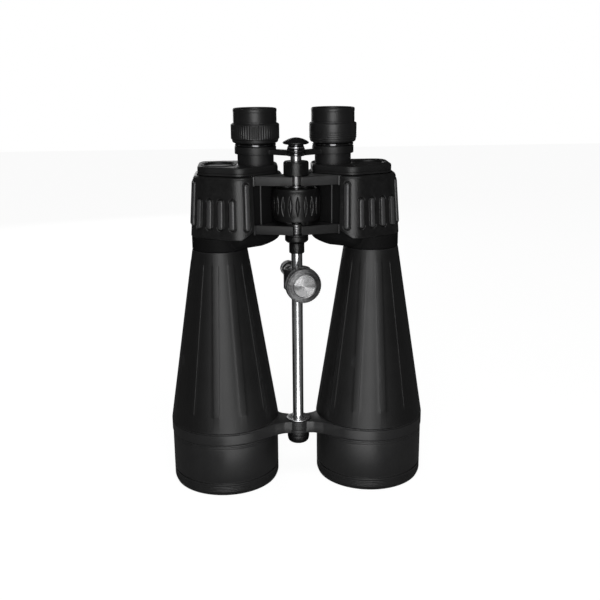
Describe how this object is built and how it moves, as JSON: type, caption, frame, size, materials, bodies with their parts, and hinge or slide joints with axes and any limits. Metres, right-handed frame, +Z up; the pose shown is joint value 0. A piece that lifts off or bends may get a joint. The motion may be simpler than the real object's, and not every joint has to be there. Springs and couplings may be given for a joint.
{
  "type": "binoculars",
  "caption": "Large Porro prism binoculars with centre focus, dioptre ring, folding hinge, stabiliser rod and sliding tripod clamp.",
  "frame": {"origin": "midway between the two objective axes, on the plane that the rims stand on", "axes": "+Z up along the tubes towards the eyepieces, +X towards the user's left, -Y towards the side that is uppermost in use"},
  "size_m": [0.224, 0.0948, 0.325],
  "materials": {
    "black_paint": "satin black paint",
    "armour_rubber": "fine grained black rubber",
    "wheel_rubber": "smooth black rubber",
    "crackle": "black crackle paint",
    "inner_black": "matt black inside",
    "steel": "turned",
    "chrome": "polished",
    "aluminium": "turned and polished",
    "glass": "coated optical glass"
  },
  "bodies": {
    "right_half": {"right_prism_housing": "black_paint", "right_armour": "armour_rubber", "right_cover_plate": "black_paint", "right_guide_bush": "steel", "right_upper_prism": "glass", "right_lower_prism": "glass", "right_upper_prism_clip": "steel", "right_lower_prism_clip": "steel", "right_prism_shelf": "inner_black", "right_objective_barrel": "black_paint", "right_brace": "black_paint", "right_objective_cell": "black_paint", "right_objective_rim": "armour_rubber", "right_crown_lens": "glass", "right_flint_lens": "glass", "right_lens_lock_ring": "inner_black", "upper_hinge_bush": "steel", "lower_hinge_pin": "steel", "hinge_collar": "crackle", "lower_hub": "crackle", "rod_collar": "crackle", "stabiliser_rod": "chrome", "rod_washer": "aluminium", "rod_nut": "crackle"},
    "left_half": {"left_prism_housing": "black_paint", "left_armour": "armour_rubber", "left_cover_plate": "black_paint", "left_guide_bush": "steel", "left_upper_prism": "glass", "left_lower_prism": "glass", "left_upper_prism_clip": "steel", "left_lower_prism_clip": "steel", "left_prism_shelf": "inner_black", "left_objective_barrel": "black_paint", "left_brace": "black_paint", "left_objective_cell": "black_paint", "left_objective_rim": "armour_rubber", "left_crown_lens": "glass", "left_flint_lens": "glass", "left_lens_lock_ring": "inner_black"},
    "focus_wheel": {"focus_wheel": "wheel_rubber"},
    "right_eyepiece": {"right_eyepiece_arm": "black_paint", "right_carriage_tube": "black_paint", "focus_spindle": "steel", "spindle_cap": "crackle"},
    "right_dioptre": {"right_dioptre_ring": "black_paint"},
    "right_ocular": {"right_ocular_tube": "inner_black", "right_field_lens": "glass", "right_eye_lens": "glass", "right_eyecup": "armour_rubber"},
    "left_eyepiece": {"left_eyepiece_arm": "black_paint", "left_carriage_tube": "black_paint", "left_eyepiece_ring": "black_paint", "left_ocular_tube": "inner_black", "left_field_lens": "glass", "left_eye_lens": "glass", "left_eyecup": "armour_rubber"},
    "clamp_bush": {"clamp_bush": "steel"},
    "tripod_clamp": {"tripod_clamp": "crackle"},
    "thumb_knob": {"thumb_knob": "aluminium"}
  },
  "joints": [
    {"name": "pupil_hinge", "type": "hinge", "parent": "right_half", "child": "left_half", "pos_m": [0, -0.0158, 0.2], "axis": [0, 0, 1], "range_deg": [-20, 18]},
    {"name": "right_focus_slide", "type": "slide", "parent": "right_half", "child": "right_eyepiece", "axis": [0, 0, 1], "range_m": [-0.0035, 0.0035]},
    {"name": "left_focus_slide", "type": "slide", "parent": "left_half", "child": "left_eyepiece", "axis": [0, 0, 1], "range_m": [-0.0035, 0.0035]},
    {"name": "focus_turn", "type": "hinge", "parent": "right_half", "child": "focus_wheel", "pos_m": [0, -0.0158, 0.249], "axis": [0, 0, 1], "range_deg": [-201, 201]},
    {"name": "ocular_slide", "type": "slide", "parent": "right_eyepiece", "child": "right_ocular", "axis": [0, 0, 1], "range_m": [-0.0015, 0.0015]},
    {"name": "dioptre_turn", "type": "hinge", "parent": "right_eyepiece", "child": "right_dioptre", "pos_m": [-0.0325, 0.00755, 0.305], "axis": [0, 0, 1], "range_deg": [-60, 60]},
    {"name": "clamp_slide", "type": "slide", "parent": "right_half", "child": "clamp_bush", "axis": [0, 0, 1], "range_m": [-0.08, 0.007]},
    {"name": "clamp_swing", "type": "hinge", "parent": "clamp_bush", "child": "tripod_clamp", "pos_m": [0, -0.0158, 0.185], "axis": [0, 0, 1], "range_deg": [-25, 25]},
    {"name": "knob_turn", "type": "hinge", "parent": "tripod_clamp", "child": "thumb_knob", "pos_m": [0, -0.0158, 0.185], "axis": [0.1495, -0.9888, 0], "range_deg": [-360, 20]}
  ],
  "couplings": [
    {"joint": "left_focus_slide", "follows": "right_focus_slide", "ratio": 1},
    {"joint": "focus_turn", "follows": "right_focus_slide", "rad_per_m": 1000},
    {"joint": "dioptre_turn", "follows": "ocular_slide", "rad_per_m": 690}
  ]
}
